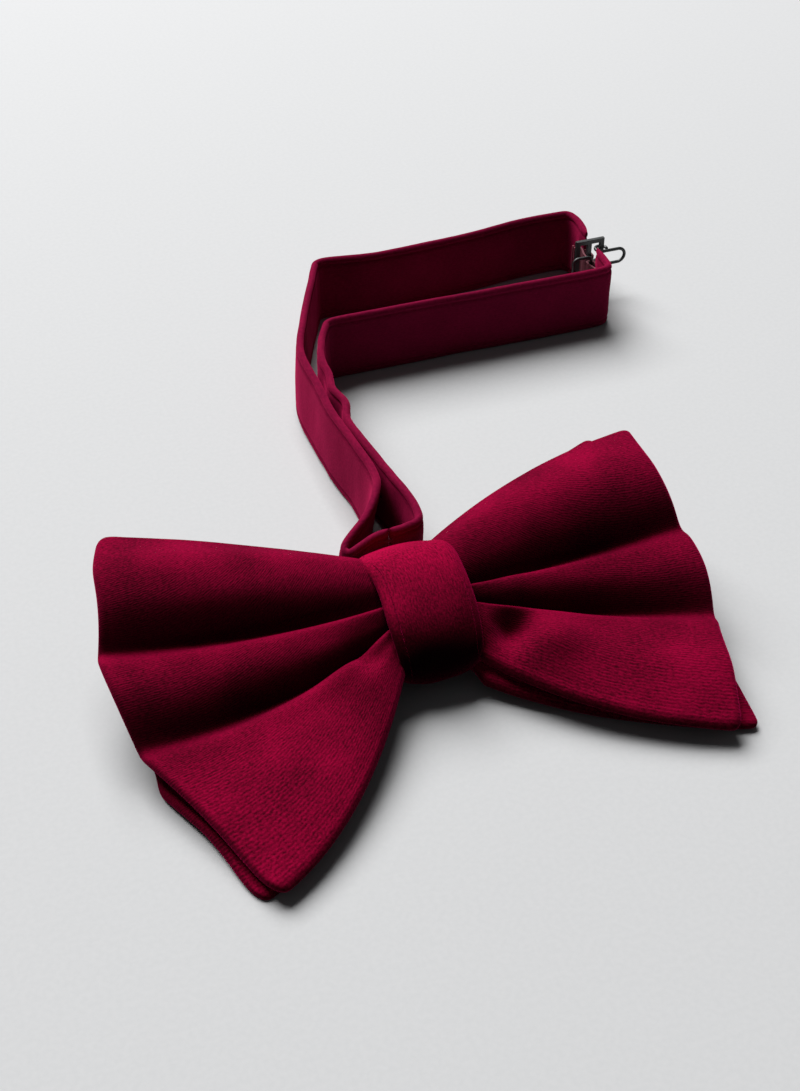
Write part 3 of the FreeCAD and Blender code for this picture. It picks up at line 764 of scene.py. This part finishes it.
def pile_rows(nodes, row_pitch, rib_share):
    """The pile's fine rows: tufts drawn out along the cloth, and the ribs they stand in."""
    uv = nodes.add("ShaderNodeUVMap")
    uv.uv_map = "cloth"
    rows = nodes.add("ShaderNodeMapping")
    rows.inputs["Scale"].default_value = (TUFTS_ALONG / row_pitch, TUFTS_ACROSS / row_pitch, 1.0)
    nodes.link(uv.outputs["UV"], rows.inputs["Vector"])
    tufts = nodes.noise(rows.outputs["Vector"], 1.0, 1.0)
    ribs = nodes.add("ShaderNodeTexWave")
    ribs.wave_type = "BANDS"
    ribs.bands_direction = "Y"
    ribs.inputs["Scale"].default_value = RIBS_PER_ROW / row_pitch
    ribs.inputs["Distortion"].default_value = RIB_WAVER
    ribs.inputs["Detail"].default_value = 1.0
    ribs.inputs["Detail Scale"].default_value = RIB_WAVER_SCALE
    nodes.link(uv.outputs["UV"], ribs.inputs["Vector"])
    return nodes.blend(rib_share, tufts, ribs.outputs["Fac"])


def with_painted_shade(nodes, colour, shade):
    """Painted shade: the colour, taken down to a share of itself on faces turned away from the light
    behind and above.
    """
    turned = nodes.add("ShaderNodeVectorMath")
    # Painted shade: how far each face turns towards the light behind and above.
    turned.operation = "DOT_PRODUCT"
    turned.inputs[1].default_value = PAINTED_LIGHT_FROM
    nodes.link(nodes.place.outputs["Normal"], turned.inputs[0])
    depth = nodes.add("ShaderNodeMapRange")
    depth.interpolation_type = "SMOOTHSTEP"
    depth.inputs["From Min"].default_value = PAINTED_SHADE_FULL_AT
    depth.inputs["From Max"].default_value = PAINTED_SHADE_NONE_AT
    depth.inputs["To Min"].default_value = shade
    depth.inputs["To Max"].default_value = 1.0
    nodes.link(turned.outputs["Value"], depth.inputs["Value"])
    shaded = nodes.add("ShaderNodeVectorMath")
    shaded.operation = "SCALE"
    nodes.link(colour, shaded.inputs[0])
    nodes.link(depth.outputs["Result"], shaded.inputs["Scale"])
    return shaded.outputs["Vector"]


def velvet(name, dark, light, row_pitch, rib_share, pile_depth, painted_shade_keep, sheen, sheen_tint):
    """Velvet: dark cloth under a bright standing pile, with the pile's fine rows, and painted shade on
    faces turned from the light.
    """
    nodes = Nodes(name)
    shader = nodes.shader
    fuzz = nodes.noise(nodes.place.outputs["Object"], FUZZ_SCALE, 2.0)
    brushed = nodes.noise(nodes.place.outputs["Object"], BRUSHED_SCALE, 3.0)
    height = nodes.blend(ROWS_SHARE, pile_rows(nodes, row_pitch, rib_share), fuzz)
    nodes.bump(height, pile_depth)
    tone = nodes.blend(HEIGHT_SHARE, height, brushed)
    colour = nodes.two_tone(tone, PILE_DARK_STOP, dark, PILE_LIGHT_STOP, light)
    # The base colour carries the painted shade.
    nodes.link(with_painted_shade(nodes, colour, painted_shade_keep), shader.inputs["Base Color"])
    shader.inputs["Roughness"].default_value = PILE_ROUGHNESS
    shader.inputs["Specular IOR Level"].default_value = PILE_SPECULAR
    shader.inputs["Sheen Weight"].default_value = sheen
    shader.inputs["Sheen Roughness"].default_value = SHEEN_ROUGHNESS
    shader.inputs["Sheen Tint"].default_value = (*sheen_tint, 1.0)
    return nodes.material


def plain(name, colour, second, scale, roughness, bump_distance):
    """A quiet surface with a fine grain in its colour and its height."""
    nodes = Nodes(name)
    grain = nodes.noise(nodes.place.outputs["Object"], scale, 4.0)
    tone = nodes.two_tone(grain, GRAIN_DARK_STOP, colour, GRAIN_LIGHT_STOP, second)
    nodes.link(tone, nodes.shader.inputs["Base Color"])
    nodes.bump(grain, bump_distance)
    nodes.shader.inputs["Roughness"].default_value = roughness
    return nodes.material


def bow_velvet():
    """The bow's crimson velvet, with the longest pile."""
    # Painted shade takes the bow's colour down to a fifth on faces turned away from the light.
    return velvet("bow_velvet_pile", dark=(0.042, 0.0004, 0.005), light=(0.215, 0.0008, 0.023),
                  row_pitch=0.52 * MM, rib_share=0.22, pile_depth=0.20 * MM, painted_shade_keep=0.2,
                  sheen=0.5, sheen_tint=(1.0, 0.004, 0.16))


def knot_velvet():
    """The same velvet drawn tight round the knot: its colour painted lighter so the top reads brightly
    lit, and painted shade taking it down to black on faces turned away from the light.
    """
    return velvet("knot_velvet_pile", dark=(0.080, 0.0006, 0.009), light=(0.310, 0.0010, 0.032),
                  row_pitch=0.45 * MM, rib_share=0.04, pile_depth=0.16 * MM, painted_shade_keep=0.0,
                  sheen=0.3, sheen_tint=(1.0, 0.004, 0.16))


def band_velvet():
    """The neckband's shorter and duller pile."""
    return velvet("band_velvet_pile", dark=(0.095, 0.0022, 0.018), light=(0.165, 0.0038, 0.028),
                  row_pitch=0.6 * MM, rib_share=0.10, pile_depth=0.10 * MM, painted_shade_keep=1.0,
                  sheen=0.3, sheen_tint=(1.0, 0.03, 0.18))


def thread():
    """Crimson sewing thread."""
    return plain("crimson_thread", (0.09, 0.002, 0.014), (0.14, 0.003, 0.022), 900.0, 0.8, 0.05 * MM)


def lining():
    """Off-white woven interlining."""
    return plain("woven_interlining", (0.62, 0.60, 0.54), (0.72, 0.70, 0.64), 1500.0, 0.95, 0.05 * MM)


def ribbon():
    """The dark narrow ribbon of the tabs."""
    return plain("narrow_ribbon", (0.06, 0.002, 0.010), (0.09, 0.003, 0.015), 1200.0, 0.75, 0.04 * MM)


def enamel():
    """Black enamel on the wires and the plate."""
    return plain("black_enamel", (0.008, 0.009, 0.010), (0.016, 0.018, 0.019), 420.0, 0.42, 0.01 * MM)


def paper():
    """The pale table under the tie."""
    return plain("pale_paper", (0.370, 0.373, 0.377), (0.382, 0.384, 0.388), 900.0, 0.9, 0.004 * MM)


def dress(material, names):
    """Give CAD nodes their material."""
    for name in names:
        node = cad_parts[name]
        for slot in node.material_slots:
            slot.material = material
        if not node.material_slots:
            node.data.materials.append(material)


dress(enamel(), ("wire_hook", "wire_eye", "slotted_hook_plate"))
dress(ribbon(), ("hook_ribbon_tab", "eye_ribbon_tab"))
dress(thread(), ("knot_lap_stitches", "band_anchor_stitches", "waist_binding_thread",
                 "hook_tab_bar_tack", "eye_tab_bar_tack"))
dress(lining(), ("front_bow_interlining", "rear_bow_interlining", "knot_wrap_filler",
                 "neckband_interlining", "back_band_interlining", "front_band_interlining"))


# ------------------------------------------------------------------ the pieces

bow_cloth = bow_velvet()
band_cloth = band_velvet()

front_bow = make_bow("front_bow_cloth", LEFT_FRONT, RIGHT_FRONT, FRONT_CLOTH)
front_bow.data.materials.append(bow_cloth)
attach(front_bow, "bow")
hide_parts("front_bow_velvet", "front_bow_interlining")

rear_bow = make_bow("rear_bow_cloth", LEFT_REAR, RIGHT_REAR, REAR_CLOTH)
rear_bow.data.materials.append(bow_cloth)
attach(rear_bow, "bow")
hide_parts("rear_bow_velvet", "rear_bow_interlining")

knot = make_knot("knot_wrap_cloth")
knot.data.materials.append(knot_velvet())
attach(knot, "bow")
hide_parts("knot_wrap_velvet", "knot_wrap_filler", "waist_binding_thread")

back_half, back_run = make_band("neckband_back_cloth", BACK_HALF, BACK_SEED)
back_half.data.materials.append(band_cloth)
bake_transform(back_half)
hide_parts("back_band_velvet", "back_band_interlining")

front_half, front_run = make_band("neckband_front_cloth", FRONT_HALF, FRONT_SEED)
front_half.data.materials.append(band_cloth)
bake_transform(front_half)
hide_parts("front_band_velvet", "front_band_interlining",
            "neckband_velvet", "neckband_interlining")


# ------------------------------------------------------------------ floor, light, camera

FLOOR_HALF = 8.0
LIGHT_AZIMUTH = -168.0
LIGHT_ELEVATION = 54.0
LIGHT_DISTANCE = 3.0
LIGHT_SIZE = 2.3
LIGHT_POWER = 236.0
SKY_COLOUR = (0.95, 0.97, 1.0, 1.0)
SKY_STRENGTH = 0.06
CAMERA_AZIMUTH = -20.3
CAMERA_ELEVATION = 40.0
CAMERA_DISTANCE = 0.3687
CAMERA_AIM = Vector((-0.0108, -0.0072, 0.0))
CAMERA_SENSOR = 36.0
CAMERA_LENS = 52.0
CAMERA_CLIP_START = 0.01


def make_floor():
    """The flat table the tie lies on."""
    mesh = bpy.data.meshes.new("floor")
    corners = [(-FLOOR_HALF, -FLOOR_HALF, 0.0), (FLOOR_HALF, -FLOOR_HALF, 0.0),
               (FLOOR_HALF, FLOOR_HALF, 0.0), (-FLOOR_HALF, FLOOR_HALF, 0.0)]
    mesh.from_pydata(corners, [], [(0, 1, 2, 3)])
    mesh.materials.append(paper())
    floor = bpy.data.objects.new("floor", mesh)
    bpy.context.collection.objects.link(floor)


def make_sky():
    """A faint even light from all round."""
    world = bpy.data.worlds.new("studio")
    bpy.context.scene.world = world
    world.use_nodes = True
    sky = world.node_tree.nodes["Background"]
    sky.inputs["Color"].default_value = SKY_COLOUR
    sky.inputs["Strength"].default_value = SKY_STRENGTH


def look_back(thing, aim, azimuth, elevation, distance):
    """Stand a light or camera off from its aim, looking at it; azimuth 0 is in front of the bow."""
    azimuth = math.radians(azimuth)
    elevation = math.radians(elevation)
    back = Vector((math.sin(azimuth) * math.cos(elevation), -math.cos(azimuth) * math.cos(elevation),
                   math.sin(elevation)))
    thing.location = aim + back * distance
    thing.rotation_euler = back.to_track_quat("Z", "Y").to_euler()
    bpy.context.collection.objects.link(thing)


def make_light():
    """One large soft light from behind the tie."""
    data = bpy.data.lights.new("window", "AREA")
    data.shape = "SQUARE"
    data.size = LIGHT_SIZE
    data.energy = LIGHT_POWER
    lamp = bpy.data.objects.new("window", data)
    look_back(lamp, Vector((0.0, 0.0, 0.0)), LIGHT_AZIMUTH, LIGHT_ELEVATION, LIGHT_DISTANCE)


def make_camera():
    """The photograph's view, from the left and above."""
    data = bpy.data.cameras.new("camera")
    data.sensor_width = CAMERA_SENSOR
    data.lens = CAMERA_LENS
    data.clip_start = CAMERA_CLIP_START
    camera = bpy.data.objects.new("camera", data)
    look_back(camera, CAMERA_AIM, CAMERA_AZIMUTH, CAMERA_ELEVATION, CAMERA_DISTANCE)
    bpy.context.scene.camera = camera


make_floor()
make_sky()
make_light()
make_camera()
bpy.context.scene.view_settings.view_transform = "Standard"
